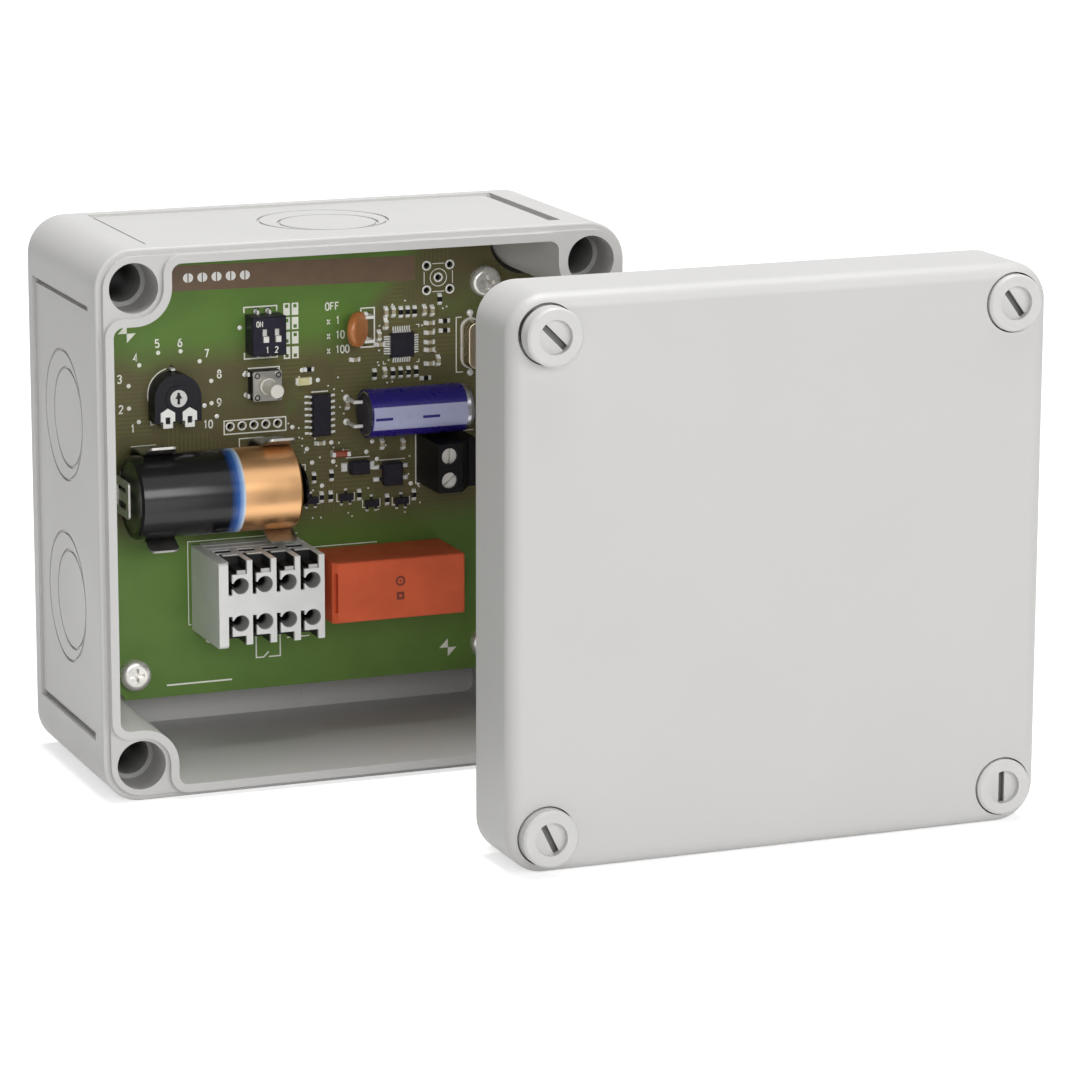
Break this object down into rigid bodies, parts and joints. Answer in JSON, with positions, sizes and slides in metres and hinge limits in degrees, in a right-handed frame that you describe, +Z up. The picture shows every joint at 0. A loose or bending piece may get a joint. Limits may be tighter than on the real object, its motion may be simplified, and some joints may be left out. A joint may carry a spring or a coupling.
{
  "type": "doorbell relay box",
  "caption": "Square wall box with its lid off, holding a relay board with a battery, a time dial, a test button, a code switch and wire terminals.",
  "frame": {"origin": "centre of the case's rear face, which goes on the wall", "axes": "+X to the right, +Y backwards into the wall, +Z up"},
  "size_m": [0.166, 0.1285, 0.11],
  "materials": {
    "case_plastic": "satin",
    "gasket_foam": "matte",
    "screw_plastic": "satin",
    "board_laminate": "satin",
    "steel": "bright",
    "sleeve_print": "glossy",
    "black_plastic": "matte",
    "spring_steel": "bright",
    "dark_steel": "satin",
    "tinned_metal": "bright",
    "white_plastic": "satin",
    "capacitor_aluminium": "satin",
    "capacitor_print": "glossy",
    "rubber_black": "matte",
    "fuse_coating": "satin",
    "relay_red": "satin",
    "terminal_grey": "matte",
    "led_lens": "glossy",
    "diode_glass": "glossy",
    "chip_ceramic": "matte",
    "chip_black": "matte"
  },
  "bodies": {
    "case_body": {"case": "case_plastic", "circuit_board": "board_laminate", "board_screws": "steel", "crystal_can": "steel", "button_cover": "steel", "trimmer_base": "black_plastic", "button_base": "black_plastic", "switch_body": "black_plastic", "microcontroller": "black_plastic", "logic_chip": "black_plastic", "screw_terminal_housing": "black_plastic", "relay_base": "black_plastic", "power_diode": "black_plastic", "bridge_rectifier": "black_plastic", "transistors": "black_plastic", "battery_clip_left": "spring_steel", "battery_clip_right": "spring_steel", "battery_contact_negative": "spring_steel", "wire_terminal_clamps": "spring_steel", "screw_terminal_clamps": "spring_steel", "battery_contact_positive": "dark_steel", "trimmer_terminals": "tinned_metal", "button_legs": "tinned_metal", "switch_legs": "tinned_metal", "microcontroller_leads": "tinned_metal", "logic_chip_leads": "tinned_metal", "capacitor_leads": "tinned_metal", "crystal_base": "tinned_metal", "crystal_leads": "tinned_metal", "fuse_leads": "tinned_metal", "relay_pins": "tinned_metal", "wire_terminal_pins": "tinned_metal", "screw_terminal_pins": "tinned_metal", "capacitor_can": "capacitor_aluminium", "capacitor_sleeve": "capacitor_print", "capacitor_bung": "rubber_black", "fuse_disc": "fuse_coating", "relay_housing": "relay_red", "wire_terminal_housing": "terminal_grey", "wire_terminal_end_plate": "terminal_grey", "indicator_led": "led_lens", "signal_diode": "diode_glass", "chip_capacitors": "chip_ceramic", "chip_resistors": "chip_black"},
    "lid_body": {"lid": "case_plastic", "lid_gasket": "gasket_foam"},
    "screw_upper_left_body": {"lid_screw_upper_left": "screw_plastic"},
    "screw_lower_left_body": {"lid_screw_lower_left": "screw_plastic"},
    "screw_upper_right_body": {"lid_screw_upper_right": "screw_plastic"},
    "screw_lower_right_body": {"lid_screw_lower_right": "screw_plastic"},
    "battery_body": {"battery_cell": "steel", "battery_sleeve": "sleeve_print", "battery_seal": "black_plastic", "battery_positive_cap": "steel"},
    "rotor_body": {"trimmer_rotor": "white_plastic"},
    "button_body": {"test_button": "white_plastic"},
    "slider_1_body": {"switch_slider_1": "white_plastic"},
    "slider_2_body": {"switch_slider_2": "white_plastic"},
    "terminal_screw_1_body": {"screw_terminal_screw_1": "steel"},
    "terminal_screw_2_body": {"screw_terminal_screw_2": "steel"}
  },
  "joints": [
    {"name": "lid_travel", "type": "slide", "parent": "case_body", "child": "lid_body", "axis": [-0.6915, 0.7224, 0], "range_m": [0, 0.08098]},
    {"name": "screw_upper_left_turn", "type": "hinge", "parent": "lid_body", "child": "screw_upper_left_body", "pos_m": [0.0085, -0.1072, 0.0475], "axis": [0, 1, 0], "range_deg": [0, 90]},
    {"name": "screw_lower_left_turn", "type": "hinge", "parent": "lid_body", "child": "screw_lower_left_body", "pos_m": [0.0085, -0.1072, -0.0475], "axis": [0, 1, 0], "range_deg": [0, 90]},
    {"name": "screw_upper_right_turn", "type": "hinge", "parent": "lid_body", "child": "screw_upper_right_body", "pos_m": [0.1035, -0.1072, 0.0475], "axis": [0, 1, 0], "range_deg": [0, 90]},
    {"name": "screw_lower_right_turn", "type": "hinge", "parent": "lid_body", "child": "screw_lower_right_body", "pos_m": [0.1035, -0.1072, -0.0475], "axis": [0, 1, 0], "range_deg": [0, 90]},
    {"name": "battery_pull", "type": "slide", "parent": "case_body", "child": "battery_body", "axis": [0, -1, 0], "range_m": [0, 0.024]},
    {"name": "dial_turn", "type": "hinge", "parent": "case_body", "child": "rotor_body", "pos_m": [-0.02945, -0.0165, 0.0192], "axis": [0, 1, 0], "range_deg": [-135, 135]},
    {"name": "test_press", "type": "slide", "parent": "case_body", "child": "button_body", "axis": [0, 1, 0], "range_m": [0, 0.00025], "stiffness_N_per_m": 400},
    {"name": "code_1_slide", "type": "slide", "parent": "case_body", "child": "slider_1_body", "axis": [0, 0, 1], "range_m": [0, 0.0014]},
    {"name": "code_2_slide", "type": "slide", "parent": "case_body", "child": "slider_2_body", "axis": [0, 0, 1], "range_m": [0, 0.0014]},
    {"name": "terminal_screw_1_turn", "type": "hinge", "parent": "case_body", "child": "terminal_screw_1_body", "pos_m": [0.0256, -0.0245, 0.00484], "axis": [0, 1, 0], "range_deg": [-1080, 0]},
    {"name": "terminal_screw_2_turn", "type": "hinge", "parent": "case_body", "child": "terminal_screw_2_body", "pos_m": [0.0256, -0.0245, -0.00024], "axis": [0, 1, 0], "range_deg": [-1080, 0]}
  ]
}
